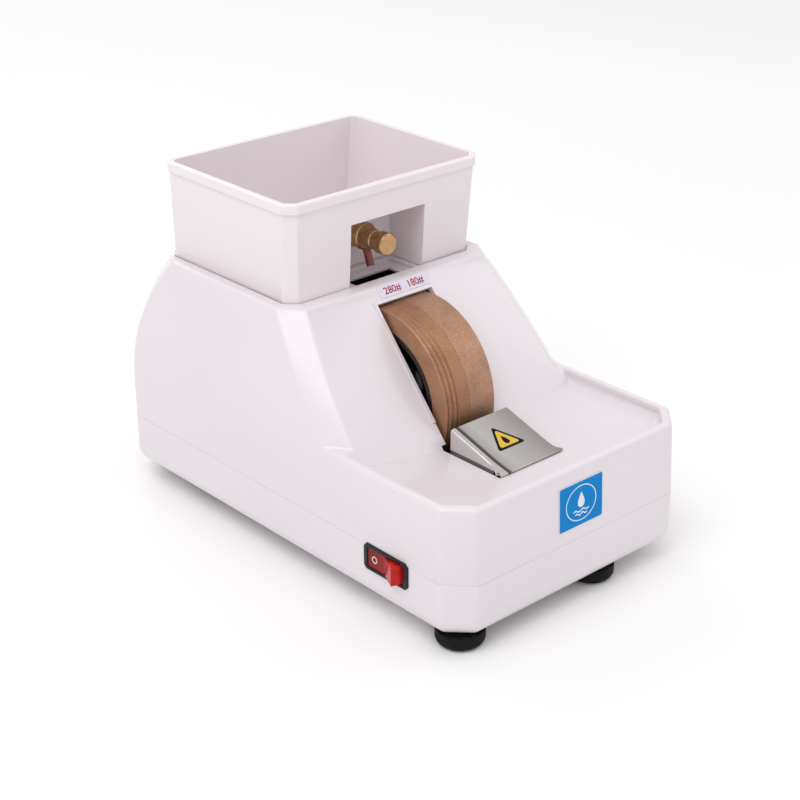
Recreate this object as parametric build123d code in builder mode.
from build123d import *
import os
from math import atan2, cos, degrees, radians, sin, tan

# Wet bench edger: a small diamond wheel runs in a moulded two-part housing, under a lift-off
# water tank whose brass tap drips on the wheel. A belt drives the wheel from a motor under the tank.
# Millimetres. X runs across the machine, Y from the user to the back, Z up.
# The origin is on the bench, under the middle of the machine.

# ---- Driving dimensions: housing ----
foot_height = 8.0
body_width = 158.0
body_length = 266.0
front_y = -140.0
corner_cut = 12.8           # legs of the facets on the upright corners
facet_soften = 5.0          # radius along the facets' upright edges
wall = 3.0
edge_radius = 2.6
base_radius = 10.0
inner_base_radius = 5.0
split_groove = 0.3          # the two shells meet in a fine V groove

base_z = foot_height        # underside of the lower shell
split_z = base_z + 29.0     # joint between the two shells
bulge_z = base_z + 51.0     # above this the sides and the back curve inwards
rim_z = base_z + 67.3       # rim of the work tray
deck_z = base_z + 121.7     # flat top that carries the tank

half_width = body_width / 2
rear_y = front_y + body_length
deck_half = 67.6            # half the width at the deck
deck_rear_y = rear_y - 24.1
face_lean = 1.9             # the front face leans back this far at the rim
slope_foot_y = front_y + 82.4
slope_top_y = front_y + 130.0
slope_facet = 9.2           # legs of the facets beside the slope
slope_angle = degrees(atan2(deck_z - rim_z, slope_top_y - slope_foot_y))

# ---- Driving dimensions: work tray, wheel slot and deck well ----
tray_rim = 4.0
tray_edge_z = base_z + 61.6      # tray floor where it meets the rim
tray_low_z = base_z + 55.2       # tray floor at the opening
opening_half = 21.3
opening_front_y = front_y + 33.4
slot_half = 18.2
slot_top = 63.2                  # up the slope from its foot
lip_width = 1.7
lip_height = 0.7
well_half = 22.0
well_depth = 3.1
well_front_y = front_y + 139.5
well_rear_y = front_y + 160.0
drip_half = 14.6
drip_lip = 0.9
drip_front_y = front_y + 142.0
drip_rear_y = front_y + 152.2

# ---- Driving dimensions: wheel and spindle ----
wheel_y = front_y + 120.0
wheel_z = base_z + 68.2
wheel_radius = 45.0
wheel_half = 16.5
ring_depth = 10.0
spindle_radius = 6.0
nose_radius = 5.0
running_gap = 0.04               # radial clearance of every turning fit
spindle_end_x = 64.0
belt_x = 58.0
belt_width = 8.0
belt_thick = 2.4
belt_gap = 0.3
wheel_pulley_radius = 17.0
motor_pulley_radius = 15.0

# ---- Driving dimensions: motor ----
motor_y = front_y + 214.0
motor_z = wheel_z
motor_radius = 38.0
motor_left_x = -45.0
motor_right_x = 38.0

# ---- Driving dimensions: tank and tap ----
tank_foot_half = 61.9
tank_top_half = 63.9
tank_foot_front_y = front_y + 137.5
tank_foot_rear_y = front_y + 237.2
tank_top_front_y = front_y + 134.3
tank_top_rear_y = front_y + 235.7
tank_top_z = base_z + 172.9
tank_bead = 4.9
tank_cut = 5.9                   # legs of the facets at the front
tank_rear_cut = 4.4              # and at the back
tank_soften = 1.6
tank_wall = 2.6
recess_left_x = -23.5
recess_right_x = 25.0
recess_rear_y = tank_foot_front_y + 25.4
recess_top_z = base_z + 154.5
tap_z = base_z + 138.9
tank_clear = 0.3                 # the tank stands this far above its seat, on its pads
bead_proud = 0.7
tank_floor = 4.0
seat_depth = 1.5
seat_gap = 0.6

# ---- Driving dimensions: switch ----
switch_y = front_y + 48.9
switch_z = base_z + 23.6
bezel_length = 30.6
bezel_height = 14.0
bezel_proud = 1.2
switch_hole_length = 27.0
switch_hole_height = 12.6
rocker_tilt = 13.0               # half of the rocker's travel, degrees

tank_foot_z = deck_z - seat_depth + tank_clear
bead_z = tank_top_z - tank_bead

os.makedirs("parts", exist_ok=True)


def write(piece, name):
    """Labels a finished piece and writes it to its own file."""
    piece.part.label = name
    export_step(piece.part, f"parts/{name}.step")


def slope_y(z, depth=0.0):
    """Y of the slope's face at a height, or of the plane that lies depth below it."""
    return slope_foot_y + (z - rim_z) / tan(radians(slope_angle)) + depth / sin(radians(slope_angle))


def slope_plane(along, height=0.0):
    """A plane on the slope, its Y up the slope, its Z out of the slope."""
    turn = radians(slope_angle)
    origin = (
        0,
        slope_foot_y + along * cos(turn) - height * sin(turn),
        rim_z + along * sin(turn) + height * cos(turn),
    )
    return Plane(origin=origin, x_dir=(1, 0, 0), z_dir=(0, -sin(turn), cos(turn)))


def across(x):
    """The YZ plane at x, its local X along Y and its local Y along Z."""
    return Plane.YZ.offset(x)


def footprint(inset):
    """Corners of the housing's outline in plan, with its four cut corners."""
    side = half_width - inset
    front = front_y + inset
    rear = rear_y - inset
    cut = corner_cut - inset * (2 - 2**0.5)
    return [
        (-side, front + cut),
        (-side + cut, front),
        (side - cut, front),
        (side, front + cut),
        (side, rear - cut),
        (side - cut, rear),
        (-side + cut, rear),
        (-side, rear - cut),
    ]


def upper_form(inset, soften=0.0):
    """The upper housing's form before its tray is cut, or the hollow inside it."""
    top = deck_z - inset
    rim = rim_z - inset
    with BuildPart() as form:
        with BuildSketch(Plane.YZ):
            with BuildLine():
                front = front_y + inset
                rear = rear_y - inset
                Polyline(
                    (rear, split_z),
                    (front, split_z),
                    (front + face_lean, rim),
                    (slope_y(rim, inset), rim),
                    (slope_y(top, inset), top),
                    (deck_rear_y - inset, top),
                )
                back = Line((rear, split_z), (rear, bulge_z))
                TangentArc(back @ 1, (deck_rear_y - inset, top), tangent=(0, 1))
            make_face()
        extrude(amount=half_width, both=True)
        with BuildSketch(Plane.XZ):
            with BuildLine():
                side = half_width - inset
                for hand in (-1, 1):
                    upright = Line((hand * side, split_z), (hand * side, bulge_z))
                    TangentArc(upright @ 1, (hand * (deck_half - inset), top), tangent=(0, 1))
                Line((-side, split_z), (side, split_z))
                Line((-deck_half + inset, top), (deck_half - inset, top))
            make_face()
        extrude(amount=body_length, both=True, mode=Mode.INTERSECT)
        # Upright corner facets at the front and the back, then the facets beside the slope.
        corners = form.edges().filter_by(lambda e: is_upright_corner(e, inset))
        chamfer(corners, corner_cut - inset)
        if soften:
            facet_sides = form.edges().filter_by(lambda e: is_facet_side(e))
            fillet(facet_sides, facet_soften)
        beside = form.edges().filter_by(lambda e: is_beside_slope(e, inset))
        chamfer(beside, slope_facet)
        if soften:
            above_split = form.edges().filter_by(lambda e: e.bounding_box().max.Z > split_z + 0.1)
            fillet(above_split, soften)
            chamfer(form.faces().sort_by(Axis.Z)[0].edges(), split_groove)
    return form.part


def is_upright_corner(edge, inset):
    """True for the rising edges between the sides and the front or the back."""
    middle = edge.center()
    rises = edge.bounding_box().size.Z > 5
    at_side = abs(middle.X) > deck_half - inset - 1
    at_end = middle.Y < front_y + inset + face_lean + 1 or middle.Y > deck_rear_y - inset
    return rises and at_side and at_end


def is_facet_side(edge):
    """True for the rising edges on both sides of each corner facet."""
    box = edge.bounding_box()
    near_side = max(abs(box.min.X), abs(box.max.X)) > deck_half - corner_cut - 1
    near_end = box.min.Y < front_y + corner_cut + 1 or box.max.Y > rear_y - corner_cut - 1
    return box.size.Z > 5 and near_side and near_end


def is_beside_slope(edge, inset):
    """True for the two edges between the slope and the sides."""
    box = edge.bounding_box()
    middle = (box.min + box.max) * 0.5
    leans = box.size.Z > 20 and box.size.Y > 20
    return leans and middle.Y < slope_top_y + inset * 2 and abs(middle.X) > deck_half - inset - 1


def tray_void(grow):
    """The open space of the work tray, from its funnel floor up, grown by a wall thickness."""
    front = front_y + face_lean + tray_rim - grow
    rear = slope_y(rim_z + 20, grow)
    side = half_width - 1.1 - tray_rim + grow
    low = tray_low_z - grow
    edge = tray_edge_z - grow
    cut = corner_cut - 1.5
    with BuildPart() as void:
        with BuildSketch(Plane.XY.offset(low)):
            with Locations((0, (opening_front_y + rear) / 2)):
                Rectangle(2 * opening_half, rear - opening_front_y)
        with BuildSketch(Plane.XY.offset(edge)):
            with Locations((0, (front + rear) / 2)):
                Rectangle(2 * side, rear - front)
        loft()
        with BuildSketch(Plane.XY.offset(edge)):
            with Locations((0, (front + rear) / 2)):
                Rectangle(2 * side, rear - front)
        extrude(amount=40)
        with BuildSketch(Plane.YZ):
            Polygon(
                (front, low),
                (slope_y(low, grow), low),
                (slope_y(rim_z + 20, grow), rim_z + 20),
                (front, rim_z + 20),
                align=None,
            )
        extrude(amount=half_width, both=True, mode=Mode.INTERSECT)
        with BuildSketch(Plane.XY.offset(low)):
            Polygon(
                (-side, front + cut),
                (-side + cut, front),
                (side - cut, front),
                (side, front + cut),
                (side, rear),
                (-side, rear),
                align=None,
            )
        extrude(amount=80, mode=Mode.INTERSECT)
        # The floor runs up into the walls, and the walls into each other, in soft curves.
        corners = void.edges().filter_by(is_tray_corner)
        fillet(corners, 3 + grow)
    return void.part


def is_tray_corner(edge):
    """True for the upright corners of the tray's front and the edges round its funnel floor."""
    box = edge.bounding_box()
    upright = box.size.X < 0.01 and box.size.Y < 0.01
    wide = max(abs(box.min.X), abs(box.max.X)) > 60
    return upright or (wide and box.max.Z < rim_z and box.max.Y < slope_foot_y - 1 and box.size.Z < 1.5)


def tank_outline(z, share, inset):
    """Cut-cornered tank outline at a height; share runs from 0 at the foot to 1 at the top."""
    half = tank_foot_half + (tank_top_half - tank_foot_half) * share - inset
    front = tank_foot_front_y + (tank_top_front_y - tank_foot_front_y) * share + inset
    rear = tank_foot_rear_y + (tank_top_rear_y - tank_foot_rear_y) * share - inset
    cut = tank_cut - inset * (2 - 2**0.5)
    rear_cut = tank_rear_cut - inset * (2 - 2**0.5)
    corners = [
        (-half, front + cut),
        (-half + cut, front),
        (half - cut, front),
        (half, front + cut),
        (half, rear - rear_cut),
        (half - rear_cut, rear),
        (-half + rear_cut, rear),
        (-half, rear - rear_cut),
    ]
    with BuildSketch(Plane.XY.offset(z)) as outline:
        Polygon(*corners, align=None)
        fillet(outline.vertices(), tank_soften)
    return outline.sketch


def is_inner_rim(edge):
    """True for the edges between the tray's walls and the flat top of its rim."""
    box = edge.bounding_box()
    level = box.min.Z > rim_z - 0.1 and box.max.Z < rim_z + 0.1
    inside = max(abs(box.min.X), abs(box.max.X)) < half_width - 4 and box.min.Y > front_y + 5
    beside_slope = box.size.Y < 1 and box.max.Y > slope_foot_y - 5
    return level and inside and box.max.Y < slope_foot_y + 1 and not beside_slope


# ================= Housing =================
outer_form = upper_form(0, edge_radius)
inner_form = upper_form(wall)
tray_space = tray_void(0)
tray_under = tray_void(wall)

screw_places = [(-68, -60), (68, -60), (-66, 102), (66, 102)]
boss_radius = 4.2
boss_hole = 1.6

# Long bosses reach from the split up to the curved sides and the tray.
with BuildPart() as bosses:
    with BuildSketch(Plane.XY.offset(split_z)):
        with Locations(*screw_places):
            Circle(boss_radius)
    extrude(amount=70)
    add(outer_form, mode=Mode.INTERSECT)

with BuildPart() as upper_housing:
    add(outer_form)
    add(inner_form, mode=Mode.SUBTRACT)
    # The tray's floor and the slope's foot close the hollow again.
    add(outer_form & tray_under)
    add(bosses)
    add(tray_space, mode=Mode.SUBTRACT)
    inner_rim = upper_housing.edges().filter_by(lambda e: is_inner_rim(e))
    fillet(inner_rim, 1.1)
    with BuildSketch(Plane.XY.offset(split_z)):
        with Locations(*screw_places):
            Circle(boss_hole)
    extrude(amount=11, mode=Mode.SUBTRACT)
    # The tray's opening, over the front of the wheel.
    with BuildSketch(Plane.XY.offset(tray_low_z - wall - 1)):
        with Locations((0, (opening_front_y + slope_y(tray_low_z) + 4) / 2)):
            Rectangle(2 * opening_half, slope_y(tray_low_z) + 4 - opening_front_y)
    extrude(amount=wall + 3, mode=Mode.SUBTRACT)
    # A thin raised lip frames the wheel slot, which runs down into the opening.
    with BuildSketch(slope_plane(0)):
        with Locations((0, slot_top / 2)):
            Rectangle(2 * (slot_half + lip_width), slot_top + 2 * lip_width)
    extrude(amount=lip_height)
    with BuildSketch(slope_plane(0, 2.0)):
        with Locations((0, (slot_top - 22) / 2)):
            Rectangle(2 * slot_half, slot_top + 22)
    extrude(amount=-16, mode=Mode.SUBTRACT)
    # The well under the tap and the hole that lets the drip fall on the wheel.
    with BuildSketch(Plane.XY.offset(deck_z - well_depth - wall)):
        with Locations((0, (well_front_y + well_rear_y) / 2)):
            Rectangle(2 * well_half + 2 * wall, well_rear_y - well_front_y + 2 * wall)
    extrude(amount=well_depth + wall)
    with BuildSketch(Plane.XY.offset(deck_z - well_depth)):
        with Locations((0, (well_front_y + well_rear_y) / 2)):
            Rectangle(2 * well_half, well_rear_y - well_front_y)
    extrude(amount=20, mode=Mode.SUBTRACT)
    with BuildSketch(Plane.XY.offset(deck_z - 20)):
        with Locations((0, (drip_front_y + drip_rear_y) / 2)):
            Rectangle(2 * drip_half, drip_rear_y - drip_front_y)
    extrude(amount=30, mode=Mode.SUBTRACT)
    # The well's floor thins to a lip round the hole.
    with BuildSketch(Plane.XY.offset(deck_z - well_depth - drip_lip)):
        with Locations((0, (drip_front_y + drip_rear_y) / 2 + 1)):
            Rectangle(2 * drip_half + 6, drip_rear_y - drip_front_y + 4)
    extrude(amount=-10, mode=Mode.SUBTRACT)
    # A shallow seat in the deck keeps the tank in its place.
    extrude(tank_outline(deck_z - seat_depth, 0, bead_proud - seat_gap), amount=20, mode=Mode.SUBTRACT)
    # The switch's rear body rises a little above the split.
    with BuildSketch(Plane.YZ.offset(-half_width - 1)):
        with Locations((switch_y, switch_z)):
            Rectangle(switch_hole_length, switch_hole_height)
    extrude(amount=wall + 2, mode=Mode.SUBTRACT)
write(upper_housing, "upper_housing")

foot_places = {
    "foot_front_left": (-63.3, front_y + 15.3),
    "foot_front_right": (25.5, front_y + 15.3),
    "foot_rear_left": (-52.0, 74.5),
    "foot_rear_right": (52.0, 74.5),
}
foot_radius = 12.0

pedestal_x = (26.0, 50.0)
pedestal_foot = 68.0
pedestal_screws = [(38.0, wheel_y - 28), (38.0, wheel_y + 28)]
cradle_legs = (motor_y - 28, motor_y + 28)
cradle_x = (-38.0, 31.0)
cradle_flange = 11.0
plate = 2.0
cradle_screws = [
    (x, y)
    for x in (cradle_x[0] + 8, cradle_x[1] - 8)
    for y in (cradle_legs[0] - cradle_flange / 2, cradle_legs[1] + cradle_flange / 2)
]
floor_z = base_z + wall
drain_x = -10.0
drain_z = base_z + 16.0
drain_radius = 6.0
gland_y = 92.0
gland_z = base_z + 16.5
gland_bore = 5.0



def tub(low_z, inset, bottom_radius):
    """The lower shell's outside, or its hollow, with a round bottom edge."""
    with BuildPart() as block:
        with BuildSketch(Plane.XY.offset(low_z)) as plan:
            Polygon(*footprint(inset), align=None)
            fillet(plan.vertices(), facet_soften)
        extrude(amount=split_z - low_z)
        fillet(block.faces().sort_by(Axis.Z)[0].edges(), bottom_radius)
    return block.part


with BuildPart() as lower_shell:
    add(tub(base_z, 0, base_radius))
    chamfer(lower_shell.faces().sort_by(Axis.Z)[-1].edges(), split_groove)
    add(tub(floor_z, wall, inner_base_radius), mode=Mode.SUBTRACT)
    # Hollow pillars take the screws that hold the shells together.
    with BuildSketch(Plane.XY.offset(floor_z)):
        with Locations(*screw_places):
            Circle(boss_radius)
    extrude(amount=split_z - floor_z)
    with Locations(*[(x, y, base_z) for x, y in screw_places]):
        Cylinder(3.4, 8, align=(Align.CENTER, Align.CENTER, Align.MIN), mode=Mode.SUBTRACT)
        Cylinder(1.9, 30, align=(Align.CENTER, Align.CENTER, Align.MIN), mode=Mode.SUBTRACT)
    # Plain holes: feet, wheel pedestal, motor cradle.
    with Locations(*[(x, y, base_z) for x, y in foot_places.values()]):
        Cylinder(2.1, 10, mode=Mode.SUBTRACT)
    with Locations(*[(x, y, base_z) for x, y in pedestal_screws + cradle_screws]):
        Cylinder(2.6, 10, mode=Mode.SUBTRACT)
    # The switch opening is cut by the split, and the cable and drain holes are round.
    with BuildSketch(Plane.YZ.offset(-half_width - 1)):
        with Locations((switch_y, switch_z)):
            Rectangle(switch_hole_length, switch_hole_height)
    extrude(amount=wall + 2, mode=Mode.SUBTRACT)
    with BuildSketch(Plane.YZ.offset(half_width + 1)):
        with Locations((gland_y, gland_z)):
            Circle(gland_bore + 0.05)
    extrude(amount=-wall - 2, mode=Mode.SUBTRACT)
    with BuildSketch(Plane.XZ.offset(-rear_y - 1)):
        with Locations((drain_x, drain_z)):
            Circle(drain_radius + 0.05)
    extrude(amount=wall + 2, mode=Mode.SUBTRACT)
    # Slots in the floor let the motor breathe.
    with BuildSketch(Plane.XY.offset(base_z - 1)):
        with GridLocations(0, 8, 1, 5):
            with Locations((0, motor_y)):
                SlotOverall(46, 3)
    extrude(amount=wall + 2, mode=Mode.SUBTRACT)
write(lower_shell, "lower_shell")


# ================= Feet and screws =================
for name, (x, y) in foot_places.items():
    with BuildPart() as foot:
        with Locations((x, y, 0)):
            Cylinder(foot_radius, foot_height, align=(Align.CENTER, Align.CENTER, Align.MIN))
        fillet(foot.faces().sort_by(Axis.Z)[0].edges(), 4)
        with Locations((x, y, 0)):
            Cylinder(5, 5, align=(Align.CENTER, Align.CENTER, Align.MIN), mode=Mode.SUBTRACT)
            Cylinder(2.1, 20, align=(Align.CENTER, Align.CENTER, Align.MIN), mode=Mode.SUBTRACT)
    write(foot, name)


def screws(places, seat_z, head_radius, head_height, shank_radius, length):
    """Upward pan-head screws: the head hangs below seat_z and the shank rises from it."""
    with BuildPart() as group:
        with Locations(*[(x, y, seat_z) for x, y in places]):
            Cylinder(shank_radius, length, align=(Align.CENTER, Align.CENTER, Align.MIN))
            Cylinder(head_radius, head_height, align=(Align.CENTER, Align.CENTER, Align.MAX))
        with Locations(*[(x, y, seat_z - head_height) for x, y in places]):
            Box(2 * head_radius + 1, 0.8, 1.0, mode=Mode.SUBTRACT)
            Box(0.8, head_radius * 1.2, 2.0, mode=Mode.SUBTRACT)
    return group


write(screws(foot_places.values(), 5.0, 4.2, 2.4, 1.9, 14.0), "foot_screws")
write(screws(screw_places, base_z + 8, 3.1, 2.2, 1.5, split_z + 9 - base_z - 8), "housing_screws")
write(screws(pedestal_screws, base_z, 4.4, 2.6, 2.4, 16.0), "pedestal_screws")
write(screws(cradle_screws, base_z, 4.0, 2.4, 2.4, wall + plate + 0.2), "cradle_screws")

with BuildPart() as cradle_nuts:
    with BuildSketch(Plane.XY.offset(floor_z + plate)):
        with Locations(*cradle_screws):
            RegularPolygon(4.2, 6)
            Circle(2.5, mode=Mode.SUBTRACT)
    extrude(amount=3.2)
write(cradle_nuts, "cradle_nuts")

# ================= Splash chamber =================
chamber_half = 23.0
chamber_wall = 1.8
chamber_front_y = opening_front_y - 3
chamber_rear_y = wheel_y + wheel_radius + 7
chamber_low_z = floor_z + 0.5
seal_radius = 12.0


def chamber_profile(inset):
    """Side outline of the splash chamber, close under the tray, the slope and the deck."""
    under_tray = tray_low_z - wall - 0.6
    under_deck = deck_z - well_depth - wall - 0.6
    low = chamber_low_z + inset
    front = chamber_front_y + inset
    rear = chamber_rear_y - inset
    with BuildSketch(Plane.YZ) as outline:
        Polygon(
            (front, low),
            (rear, low),
            (rear, under_deck),
            (slope_y(under_deck, wall + 0.8), under_deck),
            (slope_y(under_tray, wall + 0.8), under_tray),
            (front, under_tray),
            align=None,
        )
    return outline.sketch


with BuildPart() as splash_chamber:
    extrude(chamber_profile(0), amount=chamber_half, both=True)
    extrude(chamber_profile(chamber_wall), amount=chamber_half - chamber_wall, both=True, mode=Mode.SUBTRACT)
    # The top stays open below the tray's opening, the wheel slot and the drip hole.
    with Locations((0, wheel_y, deck_z)):
        Box(2 * slot_half, 90, 40, mode=Mode.SUBTRACT)
    with Locations((0, opening_front_y + 20, tray_low_z)):
        Box(2 * slot_half, 40, 12, mode=Mode.SUBTRACT)
    # The spindle passes the right wall through its seal, and water leaves at the back.
    with Locations(Location((chamber_half, wheel_y, wheel_z), (0, 90, 0))):
        Cylinder(seal_radius + 0.02, 10, mode=Mode.SUBTRACT)
    with Locations(Location((drain_x, chamber_rear_y, drain_z), (90, 0, 0))):
        Cylinder(drain_radius + 0.05, 10, mode=Mode.SUBTRACT)
write(splash_chamber, "splash_chamber")

with BuildPart() as shaft_seal:
    with BuildSketch(across(chamber_half - chamber_wall - 1)):
        with Locations((wheel_y, wheel_z)):
            Circle(seal_radius)
            Circle(spindle_radius + 0.08, mode=Mode.SUBTRACT)
    extrude(amount=chamber_wall + 1.8)
    with BuildSketch(across(chamber_half)):
        with Locations((wheel_y, wheel_z)):
            Circle(seal_radius + 1.6)
            Circle(seal_radius - 2, mode=Mode.SUBTRACT)
    extrude(amount=1.0)
write(shaft_seal, "shaft_seal")

with BuildPart() as drain_hose:
    with BuildSketch(Plane.XZ.offset(-chamber_rear_y + chamber_wall)):
        with Locations((drain_x, drain_z)):
            Circle(drain_radius)
            Circle(drain_radius - 1.5, mode=Mode.SUBTRACT)
    extrude(amount=-(rear_y - wall - 12 - chamber_rear_y + chamber_wall))
write(drain_hose, "drain_hose")

with BuildPart() as drain_spout:
    with BuildSketch(Plane.XZ.offset(-(rear_y - wall - 12))):
        with Locations((drain_x, drain_z)):
            Circle(drain_radius)
    extrude(amount=-(wall + 26))
    with BuildSketch(Plane.XZ.offset(-rear_y)):
        with Locations((drain_x, drain_z)):
            Circle(drain_radius + 2.5)
    extrude(amount=-2)
    with BuildSketch(Plane.XZ.offset(-(rear_y - wall - 13))):
        with Locations((drain_x, drain_z)):
            Circle(drain_radius - 2.2)
    extrude(amount=-60, mode=Mode.SUBTRACT)
write(drain_spout, "drain_spout")

with BuildPart() as spout_nut:
    with BuildSketch(Plane.XZ.offset(-(rear_y - wall))):
        with Locations((drain_x, drain_z)):
            RegularPolygon(9.2, 6)
            Circle(drain_radius + 0.02, mode=Mode.SUBTRACT)
    extrude(amount=5)
write(spout_nut, "spout_nut")

# ================= Spindle and wheel =================
bearing_outer = 16.0
bearing_width = 10.0

with BuildPart() as spindle_pedestal:
    with BuildSketch(across(pedestal_x[0])):
        with Locations((wheel_y, wheel_z)):
            Circle(20)
        with Locations((wheel_y, floor_z + 20)):
            Rectangle(36, 40)
        make_hull()
    extrude(amount=pedestal_x[1] - pedestal_x[0])
    with BuildSketch(Plane.XY.offset(floor_z)):
        with Locations(((pedestal_x[0] + pedestal_x[1]) / 2, wheel_y)):
            RectangleRounded(pedestal_x[1] - pedestal_x[0], pedestal_foot, 3)
    extrude(amount=7)
    with BuildSketch(across(pedestal_x[0])):
        with Locations((wheel_y, wheel_z)):
            Circle(bearing_outer)
    extrude(amount=pedestal_x[1] - pedestal_x[0], mode=Mode.SUBTRACT)
    with BuildSketch(across(pedestal_x[0])):
        with Locations((wheel_y, floor_z + 22)):
            RectangleRounded(20, 24, 3)
    extrude(amount=pedestal_x[1] - pedestal_x[0], mode=Mode.SUBTRACT)
    with Locations(*[(x, y, floor_z) for x, y in pedestal_screws]):
        Cylinder(2.5, 40, mode=Mode.SUBTRACT)
write(spindle_pedestal, "spindle_pedestal")


def bearing(x, y, z, bore, outer, width):
    """Shielded ball bearing, its two races and shields as one ring."""
    with BuildPart() as ring:
        with BuildSketch(across(x)):
            with Locations((y, z)):
                Circle(outer)
                Circle(bore, mode=Mode.SUBTRACT)
        extrude(amount=width)
        for face_x, depth in ((x, 0.5), (x + width, -0.5)):
            with BuildSketch(across(face_x)):
                with Locations((y, z)):
                    Circle(outer - 2.4)
                    Circle(bore + 2.0, mode=Mode.SUBTRACT)
            extrude(amount=depth, mode=Mode.SUBTRACT)
    return ring


spindle_bore = spindle_radius + running_gap
for name, x in (("wheel_side_bearing", pedestal_x[0]), ("belt_side_bearing", pedestal_x[1] - bearing_width)):
    write(bearing(x, wheel_y, wheel_z, spindle_bore, bearing_outer - 0.01, bearing_width), name)

hub_web = (10.0, 16.5)
hub_boss_x = 2.0
hub_rim = 3.0
ring_bore = wheel_radius - ring_depth

with BuildPart() as spindle:
    with BuildSketch(across(hub_web[1])):
        with Locations((wheel_y, wheel_z)):
            Circle(spindle_radius)
    extrude(amount=spindle_end_x + 1 - hub_web[1])
    with BuildSketch(across(-6)):
        with Locations((wheel_y, wheel_z)):
            Circle(nose_radius)
    extrude(amount=hub_web[1] + 6)
    chamfer(spindle.faces().sort_by(Axis.X)[0].edges(), 0.8)
write(spindle, "spindle")

with BuildPart() as wheel_hub:
    with BuildSketch(across(-wheel_half)):
        with Locations((wheel_y, wheel_z)):
            Circle(ring_bore - 0.02)
            Circle(ring_bore - hub_rim, mode=Mode.SUBTRACT)
    extrude(amount=2 * wheel_half)
    with BuildSketch(across(hub_web[0])):
        with Locations((wheel_y, wheel_z)):
            Circle(ring_bore - 1)
    extrude(amount=hub_web[1] - hub_web[0])
    with BuildSketch(across(hub_boss_x)):
        with Locations((wheel_y, wheel_z)):
            Circle(13)
    extrude(amount=hub_web[0] - hub_boss_x)
    with BuildSketch(across(-wheel_half)):
        with Locations((wheel_y, wheel_z)):
            Circle(nose_radius + 0.02)
    extrude(amount=2 * wheel_half, mode=Mode.SUBTRACT)
write(wheel_hub, "wheel_hub")

grit_split_x = -0.5
groove_places = (-14.6, -11.6, -8.6)
groove_half = 0.9
groove_depth = 1.1


def ring_profile(left, right, grooves):
    """Half section of an abrasive ring, its axis along X at Y 0; the two rings meet in a hair groove."""
    edge = 0.6 if left < -wheel_half + 1 else 0.12
    far_edge = 0.72 - edge
    tread = [(left, ring_bore), (left, wheel_radius - edge), (left + edge, wheel_radius)]
    for x in grooves:
        tread.append((x - groove_half, wheel_radius))
        tread.append((x, wheel_radius - groove_depth))
        tread.append((x + groove_half, wheel_radius))
    tread += [(right - far_edge, wheel_radius), (right, wheel_radius - far_edge), (right, ring_bore)]
    return tread


def abrasive_ring(left, right, grooves):
    """A sintered ring turned about the spindle's axis."""
    axis_plane = Plane(origin=(0, wheel_y, wheel_z), x_dir=(1, 0, 0), z_dir=(0, 0, 1))
    with BuildPart() as ring:
        with BuildSketch(axis_plane):
            Polygon(*ring_profile(left, right, grooves), align=None)
        revolve(axis=Axis((0, wheel_y, wheel_z), (1, 0, 0)), revolution_arc=360)
    return ring


write(abrasive_ring(-wheel_half, grit_split_x, groove_places), "fine_wheel_ring")
write(abrasive_ring(grit_split_x + 0.05, wheel_half, ()), "coarse_wheel_ring")

with BuildPart() as wheel_washer:
    with BuildSketch(across(hub_boss_x - 2)):
        with Locations((wheel_y, wheel_z)):
            Circle(10)
            Circle(nose_radius + 0.02, mode=Mode.SUBTRACT)
    extrude(amount=2)
write(wheel_washer, "wheel_washer")

with BuildPart() as wheel_nut:
    with BuildSketch(across(hub_boss_x - 8)):
        with Locations((wheel_y, wheel_z)):
            RegularPolygon(9.8, 6)
            Circle(nose_radius + 0.02, mode=Mode.SUBTRACT)
    extrude(amount=6)
    chamfer(wheel_nut.faces().sort_by(Axis.X)[0].outer_wire().edges(), 0.8)
write(wheel_nut, "wheel_nut")


def pulley(y, z, radius, bore):
    """Flanged flat-belt pulley with a boss, centred on the belt's plane."""
    flange = 2.0
    half_gap = belt_width / 2 + 0.5
    with BuildPart() as wheel:
        with BuildSketch(across(belt_x - half_gap - flange)):
            with Locations((y, z)):
                Circle(radius + belt_thick + 1.0)
        extrude(amount=flange)
        with BuildSketch(across(belt_x - half_gap)):
            with Locations((y, z)):
                Circle(radius)
        extrude(amount=2 * half_gap)
        with BuildSketch(across(belt_x + half_gap)):
            with Locations((y, z)):
                Circle(radius + belt_thick + 1.0)
        extrude(amount=flange)
        with BuildSketch(across(belt_x - half_gap - flange)):
            with Locations((y, z)):
                Circle(bore)
        extrude(amount=2 * half_gap + 2 * flange, mode=Mode.SUBTRACT)
    return wheel


write(pulley(wheel_y, wheel_z, wheel_pulley_radius, spindle_radius + 0.02), "wheel_pulley")

with BuildPart() as drive_belt:
    with BuildSketch(across(belt_x - belt_width / 2)):
        with Locations((wheel_y, wheel_z)):
            Circle(wheel_pulley_radius + belt_gap + belt_thick)
        with Locations((motor_y, motor_z)):
            Circle(motor_pulley_radius + belt_gap + belt_thick)
        make_hull()
    extrude(amount=belt_width)
    with BuildSketch(across(belt_x - belt_width / 2)):
        with Locations((wheel_y, wheel_z)):
            Circle(wheel_pulley_radius + belt_gap)
        with Locations((motor_y, motor_z)):
            Circle(motor_pulley_radius + belt_gap)
        make_hull()
    extrude(amount=belt_width, mode=Mode.SUBTRACT)
write(drive_belt, "drive_belt")

# ================= Motor =================
motor_shaft_radius = 5.0
motor_bore = motor_shaft_radius + running_gap
can_wall = 2.0
bell_depth = 12.0
can_left_x = motor_left_x + bell_depth
can_right_x = motor_right_x - bell_depth
motor_bearing_outer = 13.0
motor_bearing_width = 8.0

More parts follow.
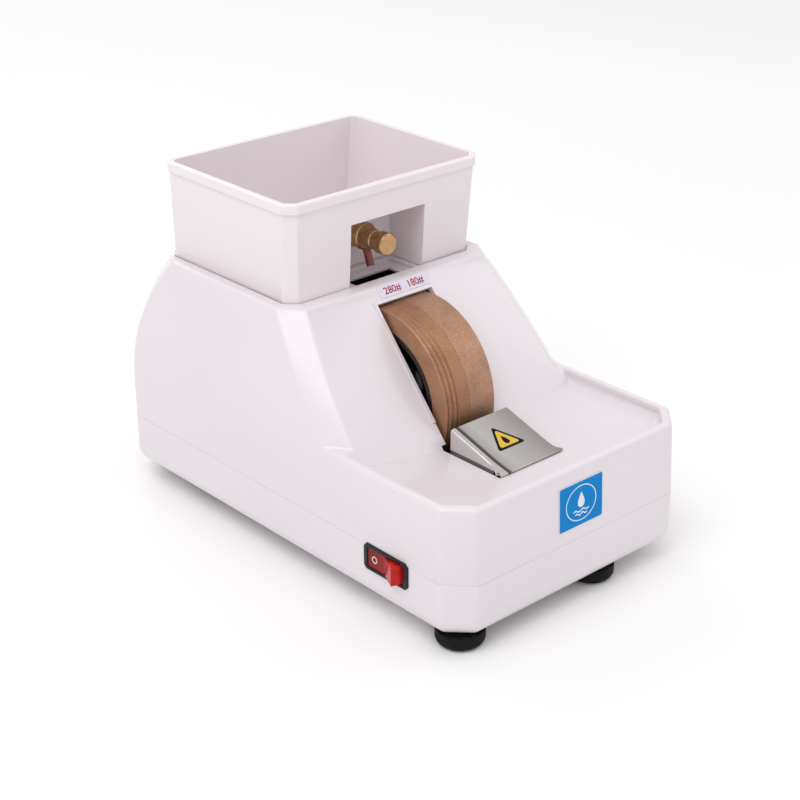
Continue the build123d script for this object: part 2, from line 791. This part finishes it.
with BuildPart() as motor_can:
    with BuildSketch(across(can_left_x)):
        with Locations((motor_y, motor_z)):
            Circle(motor_radius)
    extrude(amount=can_right_x - can_left_x)
    with BuildSketch(across(can_left_x + 6)):
        with Locations((motor_y, motor_z - motor_radius + 4)):
            Rectangle(36, 10)
    extrude(amount=can_right_x - can_left_x - 12)
    with BuildSketch(across(can_left_x)):
        with Locations((motor_y, motor_z)):
            Circle(motor_radius - can_wall)
    extrude(amount=can_right_x - can_left_x, mode=Mode.SUBTRACT)
write(motor_can, "motor_can")

motor_foot_z = motor_z - motor_radius - 1


def end_bell(outer_x, inner_x, name):
    """Cup-shaped motor end with a bearing seat and round air holes."""
    out = 1 if outer_x > inner_x else -1
    with BuildPart() as bell:
        with BuildSketch(across(inner_x)):
            with Locations((motor_y, motor_z)):
                Circle(motor_radius)
        extrude(amount=outer_x - inner_x)
        rim = bell.faces().sort_by(Axis.X)[-1 if out > 0 else 0].edges()
        fillet(rim, 4)
        with BuildSketch(across(inner_x)):
            with Locations((motor_y, motor_z)):
                Circle(motor_radius - 2.5)
                Circle(motor_bearing_outer + 2.5, mode=Mode.SUBTRACT)
        extrude(amount=out * (bell_depth - 2.5), mode=Mode.SUBTRACT)
        with BuildSketch(across(inner_x)):
            with Locations((motor_y, motor_z)):
                Circle(motor_bearing_outer)
        extrude(amount=out * (bell_depth - 2.5), mode=Mode.SUBTRACT)
        with BuildSketch(across(inner_x)):
            with Locations((motor_y, motor_z)):
                Circle(motor_shaft_radius + 1)
                with PolarLocations(25, 8):
                    Circle(4)
        extrude(amount=out * (bell_depth + 1), mode=Mode.SUBTRACT)
    write(bell, name)


end_bell(motor_left_x, can_left_x, "motor_left_bell")
end_bell(motor_right_x, can_right_x, "motor_right_bell")

left_seat_x = motor_left_x + 2.5
right_seat_x = motor_right_x - 2.5 - motor_bearing_width
for name, x in (("motor_left_bearing", left_seat_x), ("motor_right_bearing", right_seat_x)):
    write(bearing(x, motor_y, motor_z, motor_bore, motor_bearing_outer - 0.01, motor_bearing_width), name)

stator_x = (-26.0, 19.0)
rotor_radius = 18.0

with BuildPart() as motor_stator:
    with BuildSketch(across(stator_x[0])):
        with Locations((motor_y, motor_z)):
            Circle(motor_radius - can_wall - 0.02)
            Circle(rotor_radius + 0.5, mode=Mode.SUBTRACT)
            with PolarLocations(26, 12):
                Circle(3.2, mode=Mode.SUBTRACT)
    extrude(amount=stator_x[1] - stator_x[0])
write(motor_stator, "motor_stator")

with BuildPart() as stator_coils:
    for start, amount in ((stator_x[0], -6), (stator_x[1], 6)):
        with BuildSketch(across(start)):
            with Locations((motor_y, motor_z)):
                Circle(31)
                Circle(21, mode=Mode.SUBTRACT)
        extrude(amount=amount)
        fillet(stator_coils.faces().filter_by(Axis.X).sort_by(Axis.X)[0 if amount < 0 else -1].edges(), 2)
write(stator_coils, "stator_coils")

with BuildPart() as motor_shaft:
    with BuildSketch(across(motor_left_x + 1)):
        with Locations((motor_y, motor_z)):
            Circle(motor_shaft_radius)
    extrude(amount=spindle_end_x + 1 - motor_left_x - 1)
write(motor_shaft, "motor_shaft")

with BuildPart() as motor_rotor:
    with BuildSketch(across(stator_x[0])):
        with Locations((motor_y, motor_z)):
            Circle(rotor_radius)
            Circle(motor_shaft_radius + 0.02, mode=Mode.SUBTRACT)
    extrude(amount=stator_x[1] - stator_x[0])
write(motor_rotor, "motor_rotor")

write(pulley(motor_y, motor_z, motor_pulley_radius, motor_shaft_radius + 0.02), "motor_pulley")

with BuildPart() as motor_cradle:
    top_z = motor_foot_z
    with BuildSketch(across(cradle_x[0])):
        for side, y in ((-1, cradle_legs[0]), (1, cradle_legs[1])):
            with Locations((y, (floor_z + top_z) / 2)):
                Rectangle(plate, top_z - floor_z)
            with Locations((y + side * cradle_flange / 2, floor_z + plate / 2)):
                Rectangle(cradle_flange + plate, plate)
        with Locations((motor_y, top_z - plate / 2)):
            Rectangle(cradle_legs[1] - cradle_legs[0] + plate, plate)
    extrude(amount=cradle_x[1] - cradle_x[0])
    with Locations(Location((drain_x, motor_y, drain_z), (90, 0, 0))):
        Cylinder(drain_radius + 1.5, 80, mode=Mode.SUBTRACT)
    with Locations(*[(x, y, floor_z) for x, y in cradle_screws]):
        Cylinder(2.5, 10, mode=Mode.SUBTRACT)
    with Locations(*[(x, motor_y, top_z) for x in (-15, 8)]):
        Cylinder(2.5, 10, mode=Mode.SUBTRACT)
write(motor_cradle, "motor_cradle")

write(screws([(-15, motor_y), (8, motor_y)], motor_foot_z - plate, 4.0, 2.4, 2.4, plate), "motor_screws")

capacitor_x = -48.0
capacitor_y = -35.0
capacitor_z = floor_z + 17
capacitor_radius = 14.0
capacitor_length = 40.0
clip_width = 12.0

with BuildPart() as run_capacitor:
    with BuildSketch(Plane.XZ.offset(-capacitor_y - capacitor_length / 2)):
        with Locations((capacitor_x, capacitor_z)):
            Circle(capacitor_radius)
    extrude(amount=capacitor_length)
    fillet(run_capacitor.faces().filter_by(Axis.Y).edges(), 1.5)
write(run_capacitor, "run_capacitor")

with BuildPart() as capacitor_clip:
    with BuildSketch(Plane.XZ.offset(-capacitor_y - clip_width / 2)):
        with Locations((capacitor_x, capacitor_z)):
            Circle(capacitor_radius + 1.6)
        with Locations((capacitor_x, floor_z + 5)):
            Rectangle(16, 10)
        with Locations((capacitor_x, floor_z + 0.8)):
            Rectangle(44, 1.6)
        with Locations((capacitor_x, capacitor_z)):
            Circle(capacitor_radius + 0.05, mode=Mode.SUBTRACT)
    extrude(amount=clip_width)
write(capacitor_clip, "capacitor_clip")

# ================= Cable gland, terminals =================
with BuildPart() as cable_gland:
    gland_plane = Plane.YZ.offset(half_width - wall - 6)
    with BuildSketch(gland_plane):
        with Locations((gland_y, gland_z)):
            Circle(gland_bore)
    extrude(amount=wall + 12)
    with BuildSketch(Plane.YZ.offset(half_width)):
        with Locations((gland_y, gland_z)):
            Circle(7.5)
    extrude(amount=2.2)
    fillet(cable_gland.faces().sort_by(Axis.X)[-1].edges(), 1)
    with BuildSketch(gland_plane):
        with Locations((gland_y, gland_z)):
            Circle(3.3)
    extrude(amount=40, mode=Mode.SUBTRACT)
write(cable_gland, "cable_gland")

with BuildPart() as gland_nut:
    with BuildSketch(Plane.YZ.offset(half_width - wall)):
        with Locations((gland_y, gland_z)):
            RegularPolygon(8.2, 6)
            Circle(gland_bore + 0.02, mode=Mode.SUBTRACT)
    extrude(amount=-4)
write(gland_nut, "gland_nut")

terminal_x = -56.0
terminal_y = 8.0
terminal_height = 12.0

with BuildPart() as terminal_block:
    with Locations((terminal_x, terminal_y, floor_z)):
        Box(16, 36, terminal_height, align=(Align.CENTER, Align.CENTER, Align.MIN))
    fillet(terminal_block.edges().filter_by(Axis.Z), 1)
    with Locations((terminal_x, terminal_y, floor_z + terminal_height)):
        with GridLocations(0, 10, 1, 3):
            Cylinder(2.4, 6, mode=Mode.SUBTRACT)
write(terminal_block, "terminal_block")

# ================= Switch =================
pivot_x = -half_width + 3.0
pocket_half = 12.4
pocket_rise = 5.2
body_depth = 20.0

with BuildPart() as switch_body:
    with BuildSketch(Plane.YZ.offset(-half_width)) as bezel:
        with Locations((switch_y, switch_z)):
            Rectangle(bezel_length, bezel_height)
        chamfer(bezel.vertices(), 1.9)
    extrude(amount=-bezel_proud)
    chamfer(switch_body.faces().sort_by(Axis.X)[0].edges(), 0.5)
    with BuildSketch(Plane.YZ.offset(-half_width)):
        with Locations((switch_y, switch_z)):
            Rectangle(switch_hole_length - 0.2, switch_hole_height - 0.2)
    extrude(amount=body_depth)
    with BuildSketch(Plane.YZ.offset(-half_width - bezel_proud)):
        with Locations((switch_y, switch_z)):
            Rectangle(2 * pocket_half, 2 * pocket_rise)
    extrude(amount=bezel_proud + 12, mode=Mode.SUBTRACT)
write(switch_body, "switch_body")

with BuildPart() as switch_terminals:
    with Locations(*[(-half_width + body_depth, switch_y + step, switch_z) for step in (-9, 0, 9)]):
        Box(8, 0.8, 4.8, align=(Align.MIN, Align.CENTER, Align.CENTER))
write(switch_terminals, "switch_terminals")

rocker_reach = 11.0
rocker_rise = 6.4
valley_rise = rocker_rise - rocker_reach * tan(radians(rocker_tilt))

with BuildPart() as switch_rocker:
    tilt = radians(rocker_tilt)
    # The rocker's own frame: local X runs along its length and local Y out of the housing.
    pose = Plane(
        origin=(pivot_x, switch_y, switch_z - pocket_rise + 0.25),
        x_dir=(-sin(tilt), -cos(tilt), 0),
        z_dir=(0, 0, 1),
    )
    root = -2.0
    root_reach = (11.9**2 - root**2) ** 0.5
    with BuildSketch(pose):
        with BuildLine():
            Polyline(
                (-root_reach, -root),
                (-rocker_reach, -rocker_rise),
                (0, -valley_rise),
                (rocker_reach, -rocker_rise),
                (root_reach, -root),
                (4.0, 4.5),
                (-4.0, 4.5),
                (-root_reach, -root),
            )
        make_face()
    extrude(amount=2 * pocket_rise - 0.5)
write(switch_rocker, "switch_rocker")

# ================= Water tank =================
with BuildPart() as water_tank:
    loft([tank_outline(tank_foot_z, 0, bead_proud), tank_outline(tank_top_z, 1, bead_proud)])
    extrude(tank_outline(bead_z, 1, 0), amount=tank_bead)
    fillet(water_tank.faces().sort_by(Axis.Z)[-1].edges(), 1)
    loft(
        [
            tank_outline(tank_foot_z + tank_floor, 0, bead_proud + tank_wall),
            tank_outline(tank_top_z, 1, bead_proud + tank_wall),
        ],
        mode=Mode.SUBTRACT,
    )
    # The tap's recess is a box moulded into the front, open below and in front.
    recess_x = (recess_left_x + recess_right_x) / 2
    recess_wide = recess_right_x - recess_left_x
    recess_front_y = tank_foot_front_y + bead_proud + 0.1
    with Locations((recess_x, recess_front_y, tank_foot_z)):
        Box(
            recess_wide + 2 * tank_wall,
            recess_rear_y + tank_wall - recess_front_y,
            recess_top_z + tank_wall - tank_foot_z,
            align=(Align.CENTER, Align.MIN, Align.MIN),
        )
    with Locations((recess_x, recess_rear_y, tank_foot_z - 1)):
        Box(
            recess_wide,
            60,
            recess_top_z - tank_foot_z + 1,
            align=(Align.CENTER, Align.MAX, Align.MIN),
            mode=Mode.SUBTRACT,
        )
    # Hole for the tap's thread.
    with Locations(Location((0, recess_rear_y, tap_z), (90, 0, 0))):
        Cylinder(4.55, 20, mode=Mode.SUBTRACT)
    # Four pads lift the tank off its seat.
    with BuildSketch(Plane.XY.offset(tank_foot_z - tank_clear)):
        with Locations((0, 47.35)):
            with GridLocations(90, 84, 2, 2):
                Circle(3)
    extrude(amount=tank_clear)
write(water_tank, "water_tank")

# ================= Tap =================
tap_axis = Axis((0, recess_rear_y, tap_z), (0, -1, 0))


def tap_turned(points):
    """A turned piece on the tap's axis; each point is (distance in front of the recess wall, radius)."""
    with BuildPart() as piece:
        with BuildSketch(Plane(origin=(0, recess_rear_y, tap_z), x_dir=(0, -1, 0), z_dir=(-1, 0, 0))):
            Polygon(*points, align=None)
        revolve(axis=tap_axis, revolution_arc=360)
    return piece


stem_radius = 2.4
body_bore = stem_radius + running_gap
tap_nose = 20.0
tap_body = tap_turned(
    [
        (-9, 0.8),
        (-9, 4.5),
        (0, 4.5),
        (0, 7.4),
        (2.4, 7.4),
        (2.9, 6.6),
        (7.8, 6.6),
        (8.3, 7.1),
        (10.0, 7.1),
        (10.6, 6.2),
        (17.2, 4.9),
        (17.7, 4.2),
        (tap_nose, 4.2),
        (tap_nose, body_bore),
        (7.0, body_bore),
        (7.0, 0.8),
    ]
)
write(tap_body, "tap_body")

knob_front = 27.5
with BuildPart() as tap_knob:
    with BuildSketch(Plane(origin=(0, recess_rear_y, tap_z), x_dir=(0, -1, 0), z_dir=(-1, 0, 0))):
        Polygon(
            (7.5, 0),
            (7.5, stem_radius),
            (tap_nose + 0.3, stem_radius),
            (tap_nose + 0.3, 4.6),
            (tap_nose + 1.2, 5.65),
            (knob_front - 0.7, 5.65),
            (knob_front, 5.0),
            (knob_front, 0),
            align=None,
        )
    revolve(axis=tap_axis, revolution_arc=360)
    # Fine coining round the knob's rim.
    with BuildSketch(Plane.XZ.offset(-recess_rear_y + tap_nose + 1.8)):
        with Locations((0, tap_z)):
            with PolarLocations(5.75, 24):
                Circle(0.28)
    extrude(amount=3.6, mode=Mode.SUBTRACT)
write(tap_knob, "tap_knob")

with BuildPart() as tap_washer:
    with BuildSketch(Plane.XZ.offset(-recess_rear_y - tank_wall)):
        with Locations((0, tap_z)):
            Circle(8)
            Circle(4.55, mode=Mode.SUBTRACT)
    extrude(amount=-1.5)
write(tap_washer, "tap_washer")

with BuildPart() as tap_nut:
    with BuildSketch(Plane.XZ.offset(-recess_rear_y - tank_wall - 1.5)):
        with Locations((0, tap_z)):
            RegularPolygon(8, 6)
            Circle(4.55, mode=Mode.SUBTRACT)
    extrude(amount=-4)
write(tap_nut, "tap_nut")

spout_lean = 20.0
with BuildPart() as tap_outlet:
    lean = radians(spout_lean)
    outlet = Plane(
        origin=(0, recess_rear_y - 9.9, tap_z - 5.0),
        x_dir=(1, 0, 0),
        z_dir=(0, -sin(lean), -cos(lean)),
    )
    with BuildSketch(outlet):
        Circle(2.1)
        Circle(1.3, mode=Mode.SUBTRACT)
    extrude(amount=10.5)
write(tap_outlet, "tap_outlet")

# ================= Splash guard =================
sheet = 1.2
guard_half = 19.6
guard_lip_half = 20.9
guard_top = (front_y + 69.0, rim_z - 0.2)
guard_bend = (front_y + 43.5, tray_low_z + 4.2)
guard_lip = (front_y + 32.2, tray_low_z + 1.6)
cheek_foot_z = tray_low_z - wall - 0.3

with BuildPart() as splash_guard:
    # The roof slopes to the user and ends in a flatter lip over the tray's edge.
    with BuildSketch(across(-guard_half)):
        with BuildLine():
            ramp = Line(guard_top, guard_bend)
            curl = TangentArc(ramp @ 1, guard_lip, tangent=ramp % 1)
            Polyline(
                curl @ 1,
                (guard_lip[0], guard_lip[1] - sheet),
                (guard_bend[0] + 0.5, guard_bend[1] - sheet - 0.1),
                (guard_top[0], guard_top[1] - sheet - 0.1),
                guard_top,
            )
        make_face()
    extrude(amount=2 * guard_half)
    # Its two cheeks stand on the splash chamber, inside the tray's opening.
    for cheek_x in (-guard_half, guard_half - sheet):
        with BuildSketch(across(cheek_x)):
            Polygon(
                (opening_front_y + 1.0, tray_low_z + 1.2),
                (opening_front_y + 1.0, cheek_foot_z),
                (guard_top[0] - 2.0, cheek_foot_z),
                (guard_top[0] - 2.0, guard_top[1] - 2.0),
                (guard_bend[0], guard_bend[1] - 0.7),
                align=None,
            )
        extrude(amount=sheet)
    # The lip is a little wider than the roof.
    with Locations((0, guard_lip[0], guard_lip[1])):
        Box(2 * guard_lip_half, 4.0, sheet, align=(Align.CENTER, Align.MIN, Align.MAX))
write(splash_guard, "splash_guard")

# ================= Labels =================
with BuildPart() as grit_label:
    with BuildSketch(slope_plane(slot_top + lip_width + 3.6)):
        with Locations((3.0, 0)):
            Rectangle(33.4, 6.2)
    extrude(amount=0.25)
write(grit_label, "grit_label")

with BuildPart() as front_badge:
    badge_z = base_z + 47.3
    badge_lean = degrees(atan2(face_lean, rim_z - split_z))
    badge_plane = Plane(
        origin=(0.3, front_y + face_lean * (badge_z - split_z) / (rim_z - split_z), badge_z),
        x_dir=(1, 0, 0),
        z_dir=(0, -cos(radians(badge_lean)), sin(radians(badge_lean))),
    )
    with BuildSketch(badge_plane):
        RectangleRounded(29, 22.4, 0.6)
    extrude(amount=0.25)
write(front_badge, "front_badge")
